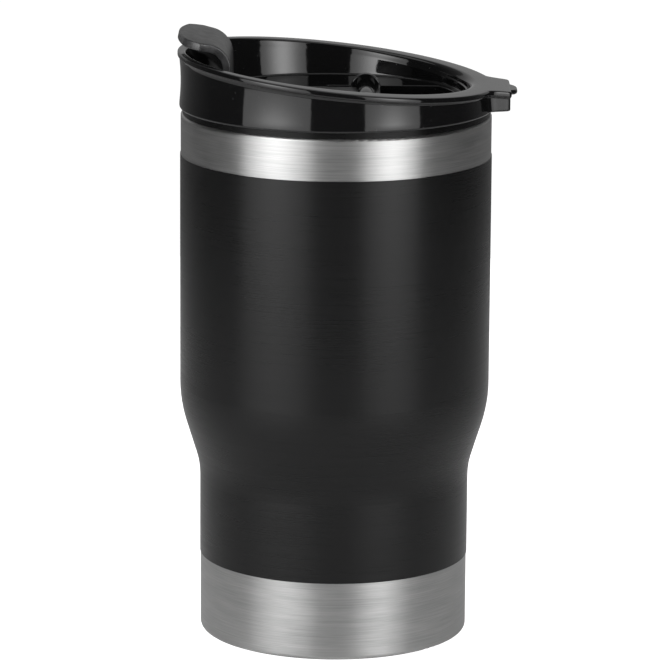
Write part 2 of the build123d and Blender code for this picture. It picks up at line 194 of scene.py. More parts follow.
def rounded_polygon(corners, radii, steps=8):
    """Closed outline through the corners, each one rounded by its own radius."""
    points = []
    count = len(corners)
    for index, corner in enumerate(corners):
        here = Vector(corner)
        back = (Vector(corners[index - 1]) - here).normalized()
        ahead = (Vector(corners[(index + 1) % count]) - here).normalized()
        radius = radii[index]
        if radius <= 0:
            points.append(tuple(here))
            continue
        half = back.angle(ahead) / 2
        start = here + back * radius / tan(half)
        middle = here + (back + ahead).normalized() * radius / sin(half)
        spoke = start - middle
        turn = -1 if back.cross(ahead) > 0 else 1
        sweep = (pi - 2 * half) * turn
        for k in range(steps + 1):
            angle = sweep * k / steps
            points.append((middle.x + spoke.x * cos(angle) - spoke.y * sin(angle),
                           middle.y + spoke.x * sin(angle) + spoke.y * cos(angle)))
    return points


# ---------------------------------------------------------------- shared surface effects
def start_group(name, inputs, outputs):
    group = bpy.data.node_groups.new(name, "ShaderNodeTree")
    for label, value in inputs:
        socket = group.interface.new_socket(name=label, in_out="INPUT", socket_type="NodeSocketFloat")
        socket.default_value = value
    for label in outputs:
        group.interface.new_socket(name=label, in_out="OUTPUT", socket_type="NodeSocketFloat")
    return group, group.nodes.new("NodeGroupInput"), group.nodes.new("NodeGroupOutput")


def maths(tree, operation, *values, clamp=False):
    node = tree.nodes.new("ShaderNodeMath")
    node.operation = operation
    node.use_clamp = clamp
    for socket, value in zip(node.inputs, values):
        if isinstance(value, (int, float)):
            socket.default_value = value
        else:
            tree.links.new(value, socket)
    return node.outputs[0]


def noise(tree, vector, scale, detail=3.0, rough=0.6):
    node = tree.nodes.new("ShaderNodeTexNoise")
    node.inputs["Detail"].default_value = detail
    node.inputs["Roughness"].default_value = rough
    if isinstance(scale, (int, float)):
        node.inputs["Scale"].default_value = scale
    else:
        tree.links.new(scale, node.inputs["Scale"])
    tree.links.new(vector, node.inputs["Vector"])
    return node.outputs["Fac"]


def stretched(tree, along, across):
    """Object position divided by one length round the mug and another up it."""
    where = tree.nodes.new("ShaderNodeTexCoord").outputs["Object"]
    parts = tree.nodes.new("ShaderNodeSeparateXYZ")
    tree.links.new(where, parts.inputs[0])
    joined = tree.nodes.new("ShaderNodeCombineXYZ")
    for index, size in enumerate((along, along, across)):
        tree.links.new(maths(tree, "DIVIDE", parts.outputs[index], size), joined.inputs[index])
    return joined.outputs[0]


def make_brush_lines():
    """Fine lines that run round the mug, with broader bands among them."""
    tree, given, out = start_group(
        "brush_lines", [("Line Length", 0.02), ("Line Pitch", 0.00025), ("Band Pitch", 0.004)],
        ["Lines", "Bands"])
    length = given.outputs["Line Length"]
    fine = noise(tree, stretched(tree, length, given.outputs["Line Pitch"]), 1.0, 4.0, 0.7)
    broad = noise(tree, stretched(tree, length, given.outputs["Band Pitch"]), 1.0, 2.0, 0.5)
    tree.links.new(fine, out.inputs["Lines"])
    tree.links.new(broad, out.inputs["Bands"])
    return tree


def make_handling_marks():
    """Wide soft smudges left by hands, and small specks of dust."""
    tree, given, out = start_group("handling_marks", [("Smudge Size", 0.02), ("Speck Size", 0.0008)],
                                   ["Smudge", "Specks"])
    where = tree.nodes.new("ShaderNodeTexCoord").outputs["Object"]
    smudge = noise(tree, where, maths(tree, "DIVIDE", 1.0, given.outputs["Smudge Size"]), 3.0, 0.55)
    speck = noise(tree, where, maths(tree, "DIVIDE", 1.0, given.outputs["Speck Size"]), 1.0, 0.4)
    tree.links.new(smudge, out.inputs["Smudge"])
    sharp = maths(tree, "MULTIPLY", maths(tree, "SUBTRACT", speck, 0.74), 14.0, clamp=True)
    tree.links.new(sharp, out.inputs["Specks"])
    return tree


def make_mould_grain():
    """Even fine grain of a spark-eroded mould, with slow drift in its depth."""
    tree, given, out = start_group("mould_grain", [("Grain Size", 0.0003), ("Drift Size", 0.006)],
                                   ["Grain", "Drift"])
    where = tree.nodes.new("ShaderNodeTexCoord").outputs["Object"]
    grain = noise(tree, where, maths(tree, "DIVIDE", 1.0, given.outputs["Grain Size"]), 2.0, 0.6)
    drift = noise(tree, where, maths(tree, "DIVIDE", 1.0, given.outputs["Drift Size"]), 3.0, 0.6)
    tree.links.new(grain, out.inputs["Grain"])
    tree.links.new(drift, out.inputs["Drift"])
    return tree


BRUSH_LINES = make_brush_lines()
HANDLING_MARKS = make_handling_marks()
MOULD_GRAIN = make_mould_grain()


# ---------------------------------------------------------------- materials
def start_material(name, rough, metallic=0.0, specular=0.5, anisotropic=0.0):
    material = bpy.data.materials.new(name)
    material.use_nodes = True
    tree = material.node_tree
    shader = tree.nodes["Principled BSDF"]
    shader.inputs["Roughness"].default_value = rough
    shader.inputs["Metallic"].default_value = metallic
    shader.inputs["Specular IOR Level"].default_value = specular
    shader.inputs["Anisotropic"].default_value = anisotropic
    if anisotropic:
        tangent = tree.nodes.new("ShaderNodeTangent")
        tangent.direction_type = "RADIAL"
        tangent.axis = "Z"
        tree.links.new(tangent.outputs[0], shader.inputs["Tangent"])
        shader.inputs["Anisotropic Rotation"].default_value = 0.25
    return material, tree, shader


def use_group(tree, group, **values):
    node = tree.nodes.new("ShaderNodeGroup")
    node.node_tree = group
    for label, value in values.items():
        node.inputs[label.replace("_", " ")].default_value = value
    return node


def spread(tree, value, low, high, source_low=0.3, source_high=0.7):
    node = tree.nodes.new("ShaderNodeMapRange")
    node.inputs["From Min"].default_value = source_low
    node.inputs["From Max"].default_value = source_high
    node.inputs["To Min"].default_value = low
    node.inputs["To Max"].default_value = high
    tree.links.new(value, node.inputs["Value"])
    return node.outputs["Result"]


def two_tone(tree, factor, dark, light, socket):
    node = tree.nodes.new("ShaderNodeMix")
    node.data_type = "RGBA"
    node.inputs[6].default_value = (*dark, 1)
    node.inputs[7].default_value = (*light, 1)
    tree.links.new(factor, node.inputs[0])
    tree.links.new(node.outputs[2], socket)
    return node.outputs[2]


def bump(tree, shader, height, distance, strength=1.0):
    node = tree.nodes.new("ShaderNodeBump")
    node.inputs["Distance"].default_value = distance
    node.inputs["Strength"].default_value = strength
    tree.links.new(height, node.inputs["Height"])
    tree.links.new(node.outputs[0], shader.inputs["Normal"])


def brushed_metal(name, dark, light, rough_low, rough_high, anisotropic, length, pitch, depth):
    """Bare metal with fine lines in its tone, gloss and surface, and soft smudges."""
    material, tree, shader = start_material(name, rough_low, metallic=1.0, anisotropic=anisotropic)
    lines = use_group(tree, BRUSH_LINES, Line_Length=length, Line_Pitch=pitch, Band_Pitch=pitch * 14)
    marks = use_group(tree, HANDLING_MARKS, Smudge_Size=0.03, Speck_Size=0.0006)
    mixed = maths(tree, "ADD", maths(tree, "MULTIPLY", lines.outputs["Lines"], 0.7),
                  maths(tree, "MULTIPLY", lines.outputs["Bands"], 0.3))
    two_tone(tree, spread(tree, mixed, 0.0, 1.0, 0.35, 0.65), dark, light, shader.inputs["Base Color"])
    rough = spread(tree, mixed, rough_low, rough_high, 0.35, 0.65)
    worn = maths(tree, "ADD", rough, spread(tree, marks.outputs["Smudge"], -0.02, 0.03))
    tree.links.new(worn, shader.inputs["Roughness"])
    bump(tree, shader, lines.outputs["Lines"], depth)
    return material


def powder_coat():
    """Satin black coat, thin enough for the brushing under it to show as faint lines."""
    material, tree, shader = start_material("satin_black_coat", 0.29, specular=0.32, anisotropic=0.45)
    lines = use_group(tree, BRUSH_LINES, Line_Length=0.03, Line_Pitch=0.00035, Band_Pitch=0.005)
    marks = use_group(tree, HANDLING_MARKS, Smudge_Size=0.035, Speck_Size=0.0005)
    two_tone(tree, spread(tree, lines.outputs["Lines"], 0.0, 1.0), (0.0018, 0.0018, 0.0019),
             (0.0036, 0.0036, 0.0038), shader.inputs["Base Color"])
    rough = maths(tree, "ADD", spread(tree, lines.outputs["Lines"], 0.25, 0.33),
                  spread(tree, marks.outputs["Smudge"], -0.03, 0.04))
    tree.links.new(rough, shader.inputs["Roughness"])
    bump(tree, shader, lines.outputs["Lines"], 0.000006)
    return material


def gloss_plastic():
    """Hard glossy black moulding with the slightest ripple and a little dust."""
    material, tree, shader = start_material("gloss_black_plastic", 0.06, specular=0.5)
    marks = use_group(tree, HANDLING_MARKS, Smudge_Size=0.012, Speck_Size=0.0007)
    grain = use_group(tree, MOULD_GRAIN, Grain_Size=0.004, Drift_Size=0.012)
    two_tone(tree, marks.outputs["Specks"], (0.0045, 0.0045, 0.0047), (0.03, 0.03, 0.03),
             shader.inputs["Base Color"])
    rough = maths(tree, "ADD", spread(tree, marks.outputs["Smudge"], 0.045, 0.085),
                  maths(tree, "MULTIPLY", marks.outputs["Specks"], 0.2))
    tree.links.new(rough, shader.inputs["Roughness"])
    bump(tree, shader, grain.outputs["Grain"], 0.000012)
    return material


def satin_plastic():
    """Finely grained black moulding of the lever, a little uneven in tone."""
    material, tree, shader = start_material("satin_black_plastic", 0.36, specular=0.75)
    grain = use_group(tree, MOULD_GRAIN, Grain_Size=0.0004, Drift_Size=0.0022)
    two_tone(tree, spread(tree, grain.outputs["Drift"], 0.0, 1.0), (0.018, 0.018, 0.0185),
             (0.048, 0.048, 0.0495), shader.inputs["Base Color"])
    tree.links.new(spread(tree, grain.outputs["Drift"], 0.30, 0.42), shader.inputs["Roughness"])
    bump(tree, shader, grain.outputs["Grain"], 0.00001)
    return material


def flange_plastic_painted_shade():
    """The plug's black, duller than the lid where it shows as a ring over the steel. The low gloss and dark
    base are painted shade for the shadow under the lid's overhang.
    """
    material, tree, shader = start_material("dull_black_plastic_painted_shade", 0.24, specular=0.18)
    marks = use_group(tree, HANDLING_MARKS, Smudge_Size=0.015, Speck_Size=0.0006)
    two_tone(tree, marks.outputs["Smudge"], (0.003, 0.003, 0.003), (0.006, 0.006, 0.006),
             shader.inputs["Base Color"])
    tree.links.new(spread(tree, marks.outputs["Smudge"], 0.2, 0.3), shader.inputs["Roughness"])
    return material


def barrel_plastic():
    """The lever's black, rubbed smooth on the barrel."""
    material, tree, shader = start_material("rubbed_black_plastic", 0.15, specular=0.25)
    grain = use_group(tree, MOULD_GRAIN, Grain_Size=0.0005, Drift_Size=0.003)
    two_tone(tree, spread(tree, grain.outputs["Drift"], 0.0, 1.0), (0.004, 0.004, 0.004),
             (0.008, 0.008, 0.008), shader.inputs["Base Color"])
    tree.links.new(spread(tree, grain.outputs["Drift"], 0.06, 0.12), shader.inputs["Roughness"])
    bump(tree, shader, grain.outputs["Grain"], 0.000006)
    return material


def grained(name, dark, light, rough, metallic, size, depth):
    """Plain finish with an even grain and a slow change of tone."""
    material, tree, shader = start_material(name, rough, metallic=metallic)
    grain = use_group(tree, MOULD_GRAIN, Grain_Size=size, Drift_Size=size * 12)
    two_tone(tree, spread(tree, grain.outputs["Drift"], 0.0, 1.0), dark, light,
             shader.inputs["Base Color"])
    worn = spread(tree, grain.outputs["Grain"], rough - 0.06, rough + 0.06)
    tree.links.new(worn, shader.inputs["Roughness"])
    bump(tree, shader, grain.outputs["Grain"], depth)
    return material


STEEL = brushed_metal("brushed_steel", (0.355, 0.355, 0.355), (0.53, 0.53, 0.525), 0.32, 0.42,
                      anisotropic=0.8, length=0.016, pitch=0.00022, depth=0.000006)
LINER_STEEL = brushed_metal("liner_steel", (0.52, 0.52, 0.51), (0.64, 0.64, 0.63), 0.28, 0.38,
                            anisotropic=0.5, length=0.03, pitch=0.0006, depth=0.000004)
PIN_STEEL = brushed_metal("pin_steel", (0.26, 0.26, 0.26), (0.36, 0.36, 0.36), 0.06, 0.1,
                          anisotropic=0.0, length=0.002, pitch=0.0002, depth=0.000002)
COAT = powder_coat()
GLOSS = gloss_plastic()
SATIN = satin_plastic()
# Duller plug black: painted shade for the shadow that the lid's overhang casts on the ring over the steel.
DULL_PAINTED_SHADE = flange_plastic_painted_shade()
RUBBED = barrel_plastic()
COPPER = grained("copper_foil", (0.72, 0.36, 0.22), (0.86, 0.47, 0.32), rough=0.25, metallic=1.0,
                 size=0.0012, depth=0.00003)
GETTER = grained("getter_grey", (0.12, 0.12, 0.12), (0.2, 0.2, 0.2), rough=0.7, metallic=0.0,
                 size=0.0003, depth=0.00003)
SOLDER = grained("solder", (0.5, 0.5, 0.52), (0.65, 0.65, 0.67), rough=0.35, metallic=1.0,
                 size=0.0006, depth=0.00003)
CLEAR_SILICONE = grained("clear_silicone", (0.62, 0.64, 0.65), (0.74, 0.76, 0.77), rough=0.42,
                         metallic=0.0, size=0.0005, depth=0.000008)
BLACK_SILICONE = grained("black_silicone", (0.012, 0.012, 0.013), (0.022, 0.022, 0.023), rough=0.55,
                         metallic=0.0, size=0.0004, depth=0.00001)

FINISHES = {
    "outer_shell": STEEL,
    "base_cap": STEEL,
    "powder_coat": COAT,
    "inner_liner": LINER_STEEL,
    "base_plate": LINER_STEEL,
    "getter_strap": LINER_STEEL,
    "copper_foil": COPPER,
    "getter_pellet": GETTER,
    "vacuum_seal": SOLDER,
    # Duller finish on the plug is painted shade under the lid's overhang.
    "lid_plug": DULL_PAINTED_SHADE,
    "lid_gasket": CLEAR_SILICONE,
    "channel_seal": CLEAR_SILICONE,
    "hinge_pin": PIN_STEEL,
    "drink_stopper": BLACK_SILICONE,
    "vent_stopper": BLACK_SILICONE,
}


def finish_carried_nodes():
    for name, material in FINISHES.items():
        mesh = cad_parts[name].data
        mesh.materials.clear()
        mesh.materials.append(material)


# ---------------------------------------------------------------- lid rim, wall and lug
LUG_TIP = STEEL_RADIUS + 4.6
WALL_RADIUS = STEEL_RADIUS + 0.37
BEAD_RADIUS = STEEL_RADIUS + 0.85
BEAD_HEIGHT = 1.6
BEAD_CORNER = 0.5
WELL_X = -1.9
FOOT_CORNER = 0.6
FLOOR_CORNER = 0.35
LUG_LOW = LIP_Z + 1.9
TONGUE_THICK = 1.3
TONGUE_HALF = 5.9
TONGUE_REACH = 2.45


def rim_angles():
    """Angles round the lid, closer together over the lug."""
    lug_half = radians(26)
    near = [lug_half * k / 90 for k in range(-90, 91)]
    rest = [lug_half + (2 * pi - 2 * lug_half) * k / 260 for k in range(1, 260)]
    return near + rest


def lug_radius(angle, grow):
    """Distance from the mug's axis to the lug's outline at an angle, or nothing away from the lug."""
    if abs(angle) > radians(40) and abs(angle - 2 * pi) > radians(40):
        return 0.0
    side_slope = 2.5 / 9.6
    side_start = 12.5 + grow + side_slope * (STEEL_RADIUS - 5)
    side = side_start / (abs(sin(angle)) + side_slope * cos(angle))
    return soft_min(side, (LUG_TIP + grow) / cos(angle), 1.1)


def wall_radius(height):
    """The wall's side, drawn in a little half way up."""
    low = WALL_FOOT_Z + 1.4
    middle = WALL_FOOT_Z + 7.4
    share = min(1.0, abs(height - middle) / (middle - low))
    return WALL_RADIUS - 0.35 * (1 - share * share)


def rim_plane(x):
    return RIM_Z - x * RIM_FALL


def well_radii(height):
    """Half width along X and along Y of the drinking well at a height."""
    share = (height - FLOOR_Z) / 13.0
    return (STEEL_RADIUS - 5.3 + share * 2.1, STEEL_RADIUS - 6.0 + share * 2.2)


def well_point(angle, height, inset=0.0):
    side, end = well_radii(height)
    return (WELL_X + (side - inset) * cos(angle), (end - inset) * sin(angle), height)


def rim_mouth_round(angle):
    """Rounding of the well's upper edge, softer on the low side behind the lever."""
    return 0.7 + 1.7 * smooth_step(radians(95), radians(15), pi - abs(pi - angle % (2 * pi)))


def rim_column(angle):
    """One section of the rim from under the wall, up outside, over the bead and down into the well."""
    c, s = cos(angle), sin(angle)

    def at(radius, height):
        return (radius * c, radius * s, height)

    column = [at(38.6, WALL_FOOT_Z)]
    for k in range(5):
        turn = pi / 2 * k / 4
        column.append(at(WALL_RADIUS - FOOT_CORNER + FOOT_CORNER * sin(turn),
                         WALL_FOOT_Z + FOOT_CORNER - FOOT_CORNER * cos(turn)))
    lug = lug_radius(angle, 0.0)

    def side(height, out):
        base = wall_radius(height)
        full = soft_max(base, lug, 2.2) if lug > base - 2.2 else base
        return base + (full - base) * out

    step_z = LUG_LOW + 0.25
    for rise, out in ((0.0, 0.0), (0.02, 0.5), (0.05, 0.9), (0.14, 0.97), (0.35, 1.0)):
        column.append(at(side(step_z + rise, out), step_z + rise))
    start = step_z + 0.35
    bead_out = soft_max(BEAD_RADIUS, lug_radius(angle, 0.32), 2.4) if lug else BEAD_RADIUS
    under = rim_plane(bead_out * c) - BEAD_HEIGHT
    for k in range(1, 13):
        height = start + (under - 0.25 - start) * k / 12
        column.append(at(side(height, 1.0), height))
    wall_top = side(under, 1.0)
    column.append(at(wall_top + 0.06, under - 0.08))
    column.append(at(max(wall_top + 0.2, bead_out - BEAD_CORNER), under))
    for k in range(1, 7):
        turn = pi / 2 * k / 6
        column.append(at(bead_out - BEAD_CORNER + BEAD_CORNER * sin(turn),
                         under + BEAD_CORNER - BEAD_CORNER * cos(turn)))
    shoulder = 0.55
    for k in range(7):
        turn = pi / 2 * k / 6
        radius = bead_out - shoulder + shoulder * cos(turn)
        column.append(at(radius, rim_plane(radius * c) - shoulder + shoulder * sin(turn)))
    soft = rim_mouth_round(angle)
    height = rim_plane(bead_out * c)
    for settle in range(4):
        height = rim_plane(well_point(angle, height)[0])
    outer_x, outer_y = (bead_out - shoulder) * c, (bead_out - shoulder) * s
    inner = well_point(angle, height, -soft)
    for share in (0.3, 0.65):
        x = outer_x + (inner[0] - outer_x) * share
        y = outer_y + (inner[1] - outer_y) * share
        column.append((x, y, rim_plane(x)))
    for k in range(9):
        turn = pi / 2 * k / 8
        x, y = well_point(angle, height, -soft * (1 - sin(turn)))[:2]
        column.append((x, y, rim_plane(x) - soft * (1 - cos(turn))))
    drop = column[-1][2]
    foot = FLOOR_Z + 0.3
    for k in range(1, 9):
        column.append(well_point(angle, drop + (foot - drop) * k / 8))
    for k in range(1, 6):
        turn = pi / 2 * k / 5
        column.append(well_point(angle, foot - FLOOR_CORNER * sin(turn), FLOOR_CORNER * (1 - cos(turn))))
    column.append(well_point(angle, FLOOR_Z - 1.4, FLOOR_CORNER))
    return column


def make_lid_rim(material):
    columns = [rim_column(angle) for angle in rim_angles()]
    mesh = mesh_from_grid("lid_rim_and_wall", columns, close_rows=True, sharp=50)
    return add_object("lid_rim_and_wall", mesh, material, "lid")


def make_lug_tongue(material):
    """Thin tongue at the lug's end, lying along the rim's slant."""
    root, reach = LUG_TIP - 4, LUG_TIP + TONGUE_REACH
    outline = rounded_polygon([(root, -TONGUE_HALF), (reach, -TONGUE_HALF), (reach, TONGUE_HALF),
                               (root, TONGUE_HALF)], [0.4, 4.2, 4.2, 0.4])
    slant = Matrix.Translation((0, 0, (RIM_Z - 0.35) * MM)) @ Matrix.Rotation(RIM_SLANT, 4, "Y")
    mesh = plate("lug_tongue", outline, [], -TONGUE_THICK, 0.0, 0.5, slant)
    return add_object("lug_tongue", mesh, material, "lid")


# ---------------------------------------------------------------- well floor and hinge
LEVER_HALF = 14.3
LEG_TOP = (13.7 - STEEL_RADIUS, RIM_Z + 6.9)
LEG_FOOT = (14.0 - STEEL_RADIUS, FLOOR_Z)
SEAT_LEFT = LEG_FOOT[0] - 2.5
POCKET_LEFT = -2.5
POCKET_RADIUS = STEEL_RADIUS - 9.3
DRINK_RADIUS = 7.0
VENT_RADIUS = 1.5
EAR_RADIUS = 4.15
EAR_HALF = 1.04
EAR_MIDDLE = 15.54


def recess_outline(grow):
    """The lever's seat and the hinge pocket as one opening in the floor."""
    seat = LEVER_HALF + 0.3 + grow
    pocket = 17.0 + grow
    radius = POCKET_RADIUS + grow
    corner = asin(pocket / radius)
    turns = [corner * (1 - k / 10) for k in range(21)]
    arc = [(radius * cos(turn), -radius * sin(turn)) for turn in turns]
    left = [(POCKET_LEFT - grow, pocket), (POCKET_LEFT - grow, seat), (SEAT_LEFT - grow, seat),
            (SEAT_LEFT - grow, -seat), (POCKET_LEFT - grow, -seat), (POCKET_LEFT - grow, -pocket)]
    corners = left + arc
    radii = [0.4, 0.4, 0.8, 0.8, 0.4, 0.4] + [0.0] * len(arc)
    return rounded_polygon(corners, radii, steps=4)


def make_well_floor(material):
    side, end = well_radii(FLOOR_Z)
    mesh = plate("well_floor", oval(side - 0.2, end - 0.2, WELL_X), [recess_outline(0)],
                 FLOOR_Z - 1.5, FLOOR_Z - 0.04, 0.22)
    return add_object("well_floor", mesh, material, "lid")


def make_recess_walls(material):
    """Sides of the lever's seat and of the hinge pocket, below the floor."""
    mesh = plate("recess_walls", recess_outline(1.4), [recess_outline(0.1)],
                 POCKET_Z - 1.4, FLOOR_Z - 0.4, 0.05)
    return add_object("recess_walls", mesh, material, "lid")


def make_lever_seat(material):
    """Tray under the lever's cover plate, with the drink hole and the vent hole."""
    half = LEVER_HALF + 0.8
    left, right = SEAT_LEFT - 0.5, POCKET_LEFT + 0.1
    outline = rounded_polygon([(left, -half), (right, -half), (right, half), (left, half)], [0.5] * 4)
    holes = [circle(DRINK_RADIUS, STOPPER_X), circle(VENT_RADIUS, VENT_X, steps=40)]
    mesh = plate("lever_seat", outline, holes, POCKET_Z - 0.6, SEAT_Z, 0.25)
    return add_object("lever_seat", mesh, material, "lid")


def make_pocket_floor(material):
    """Floor of the hinge pocket, tucked under the recess walls all round."""
    half = 17.5
    outline = rounded_polygon([(POCKET_LEFT, -half), (26, -half), (33, -8), (33, 8), (26, half),
                               (POCKET_LEFT, half)], [0.5, 5, 9, 9, 5, 0.5])
    mesh = plate("pocket_floor", outline, [], POCKET_Z - 1.4, POCKET_Z, 0.1)
    return add_object("pocket_floor", mesh, material, "lid")


def make_hinge_ears(material):
    """Half-round ears at each side of the lever, closed over the pin's ends by a thin skin."""
    turns = [pi * k / 40 for k in range(41)]
    outline = [(EAR_RADIUS * cos(turn), EAR_RADIUS * sin(turn)) for turn in turns]
    depth = POCKET_Z - HINGE_Z - 0.3
    outline += [(-EAR_RADIUS, depth), (EAR_RADIUS, depth)]
    ears = []
    for label, side in (("near", -1), ("far", 1)):
        middle = Matrix.Translation((HINGE_X * MM, side * EAR_MIDDLE * MM, HINGE_Z * MM))
        place = middle @ Matrix.Rotation(pi / 2, 4, "X")
        mesh = plate("hinge_ear_" + label, outline, [], -EAR_HALF, EAR_HALF, 0.3, place)
        ears.append(add_object("hinge_ear_" + label, mesh, material, "lid"))
    return ears


def make_drink_channel(material):
    """Short pipe from the drink hole down to the silicone ring on the plug."""
    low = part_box("channel_seal")[1].z / MM
    high = SEAT_Z - 0.4
    outside = DRINK_RADIUS + 1.4
    outline = [(DRINK_RADIUS, low), (outside, low), (outside, high), (DRINK_RADIUS, high)]
    mesh = turned("drink_channel", outline, (STOPPER_X, 0.0), steps=96)
    return add_object("drink_channel", mesh, material, "lid")


# ---------------------------------------------------------------- lever
THICK = 2.2
EDGE = 0.45
PAD_HALF = 16.1
PAD_CORNER = 4.5
PAD_FALL = tan(radians(11.6))
TOP_BEND = 5.8
LOW_BEND = 3.4
TIP_STEPS = (0.0, 0.02, 0.07, 0.14, 0.24, 0.34, 0.45, 0.7, 1.1, 1.6, 2.2, 2.9, 3.7, 4.5, 5.4, 6.4)
RIM_CIRCLE = STEEL_RADIUS + 0.4


def lever_path():
    """Points along the middle of the lever with the direction there, from the pad's end to the hinge."""
    pad_end = (-RIM_CIRCLE, LEG_TOP[1] + (LEG_TOP[0] + RIM_CIRCLE) * PAD_FALL)
    marks = [pad_end, LEG_TOP, LEG_FOOT, (HINGE_X, FLOOR_Z)]
    lines = []
    for start, finish in zip(marks, marks[1:]):
        along = (Vector(finish) - Vector(start)).normalized()
        inward = Vector((-abs(along.y), -abs(along.x)))
        lines.append((Vector(start) + inward * THICK / 2, along))
    corners = []
    for (p, d), (q, e) in zip(lines, lines[1:]):
        share = ((q.x - p.x) * e.y - (q.y - p.y) * e.x) / (d.x * e.y - d.y * e.x)
        corners.append(p + d * share)
    start = lines[0][0]
    finish = Vector((HINGE_X, FLOOR_Z - THICK / 2))
    path = []

    def straight(a, b, spacing):
        count = max(2, int((b - a).length / spacing))
        for k in range(count):
            path.append((a + (b - a) * k / count, (b - a).normalized()))

    def bend(corner, before, after, radius):
        back, ahead = -before, after
        half = back.angle(ahead) / 2
        reach = radius / tan(half)
        first = corner + back * reach
        middle = corner + (back + ahead).normalized() * radius / sin(half)
        spoke = first - middle
        turn = 1 if before.x * after.y - before.y * after.x > 0 else -1
        sweep = (pi - 2 * half) * turn
        arc = []
        for k in range(13):
            angle = sweep * k / 12
            spot = Vector((middle.x + spoke.x * cos(angle) - spoke.y * sin(angle),
                           middle.y + spoke.x * sin(angle) + spoke.y * cos(angle)))
            heading = Vector((before.x * cos(angle) - before.y * sin(angle),
                              before.x * sin(angle) + before.y * cos(angle)))
            arc.append((spot, heading))
        return first, arc, corner + ahead * reach

    first, top_arc, top_end = bend(corners[0], lines[0][1], lines[1][1], TOP_BEND)
    low_first, low_arc, low_end = bend(corners[1], lines[1][1], lines[2][1], LOW_BEND)
    along = lines[0][1]
    for distance in TIP_STEPS:
        path.append((start + along * distance, along))
    straight(start + along * 7.2, first, 0.7)
    path.extend(top_arc[:-1])
    straight(top_end, low_first, 0.8)
    path.extend(low_arc[:-1])
    straight(low_end, finish, 1.5)
    path.append((finish, Vector((1, 0))))
    return path


def lever_ring(spot, heading, distance):
    """Rounded section across the lever at one point of its path."""
    wide = LEVER_HALF + (PAD_HALF - LEVER_HALF) * (1 - smooth_step(3.0, 15.0, distance))
    if distance < PAD_CORNER:
        wide += sqrt(PAD_CORNER ** 2 - (PAD_CORNER - distance) ** 2) - PAD_CORNER
    thick = THICK / 2
    if distance < EDGE:
        thick += sqrt(EDGE ** 2 - (EDGE - distance) ** 2) - EDGE
    edge = min(EDGE, thick * 0.98)
    pad = 1 - smooth_step(2.0, 8.5, distance)
    crown = 0.3 * smooth_step(0.3, 4.0, distance) * (1 - smooth_step(7.0, 14.0, distance))
    normal = Vector((-heading.y, heading.x))
    points = []

    def put(y, lift):
        sag = (RIM_CIRCLE - sqrt(RIM_CIRCLE ** 2 - y * y)) * pad
        raised = crown * (1 - (y / wide) ** 2) if lift > 0 else 0.0
        here = spot + heading * sag + normal * (lift + raised)
        points.append((here.x, y, here.y))

    flat = wide - edge
    for k in range(25):
        put(-flat + 2 * flat * k / 24, thick)
    for k in range(1, 6):
        turn = pi / 2 * k / 6
        put(flat + edge * sin(turn), thick - edge + edge * cos(turn))
    for k in range(6):
        turn = pi / 2 * k / 6
        put(flat + edge * cos(turn), -thick + edge - edge * sin(turn))
    for k in range(25):
        put(flat - 2 * flat * k / 24, -thick)
    for k in range(1, 6):
        turn = pi / 2 * k / 6
        put(-flat - edge * sin(turn), -thick + edge - edge * cos(turn))
    for k in range(6):
        turn = pi / 2 * k / 6
        put(-flat - edge * cos(turn), thick - edge + edge * sin(turn))
    return points


def make_lever_blade(material):
    """Thumb pad, leg and cover plate in one bent blade."""
    path = lever_path()
    rings = []
    travelled = 0.0
    before = path[0][0]
    for spot, heading in path:
        travelled += (spot - before).length
        before = spot
        rings.append(lever_ring(spot, heading, travelled))
    mesh = mesh_from_grid("lever_blade", rings, caps=True, sharp=60)
    return add_object("lever_blade", mesh, material, "lever")


def make_lever_barrel(material):
    """Round barrel on the pin, with rounded ends."""
    half = 14.2
    bore = 1.25
    outside = 2.8
    outline = [(bore, -half), (2.4, -half), (2.68, -half + 0.12), (outside, -half + 0.4),
               (outside, half - 0.4), (2.68, half - 0.12), (2.4, half), (bore, half)]
    mesh = turned("lever_barrel", outline, steps=72)
    mesh.transform(Matrix.Translation((HINGE_X * MM, 0, HINGE_Z * MM)) @ Matrix.Rotation(pi / 2, 4, "X"))
    return add_object("lever_barrel", mesh, material, "lever")


def make_stop_heel(material):
    """Short lip behind the barrel that stops the lever when it is open."""
    outline = rounded_polygon([(2.0, -14.1), (4.0, -14.1), (4.0, 14.1), (2.0, 14.1)], [0.1, 0.5, 0.5, 0.1])
    place = Matrix.Translation((HINGE_X * MM, 0, HINGE_Z * MM)) @ Matrix.Rotation(radians(-10), 4, "Y")
    mesh = plate("stop_heel", outline, [], -0.8, 0.8, 0.35, place)
    return add_object("stop_heel", mesh, material, "lever")


def make_stopper_boss(material):
    """Boss under the cover plate that the drink stopper is pulled over."""
    low = FLOOR_Z - THICK - 3.2
    high = FLOOR_Z - THICK + 0.3
    outline = [(0.02, low), (3.7, low), (4.05, low + 0.15), (4.2, low + 0.5), (4.2, high), (0.02, high)]
    mesh = turned("stopper_boss", outline, (STOPPER_X, 0.0), steps=72)
    return add_object("stopper_boss", mesh, material, "lever")


def make_vent_peg(material):
    """Peg under the cover plate that carries the vent stopper."""
    low = FLOOR_Z - THICK - 0.8
    high = FLOOR_Z - THICK + 0.3
    mesh = turned("vent_peg", [(0.02, low), (0.6, low), (0.6, high), (0.02, high)], (VENT_X, 0.0), steps=36)
    return add_object("vent_peg", mesh, material, "lever")


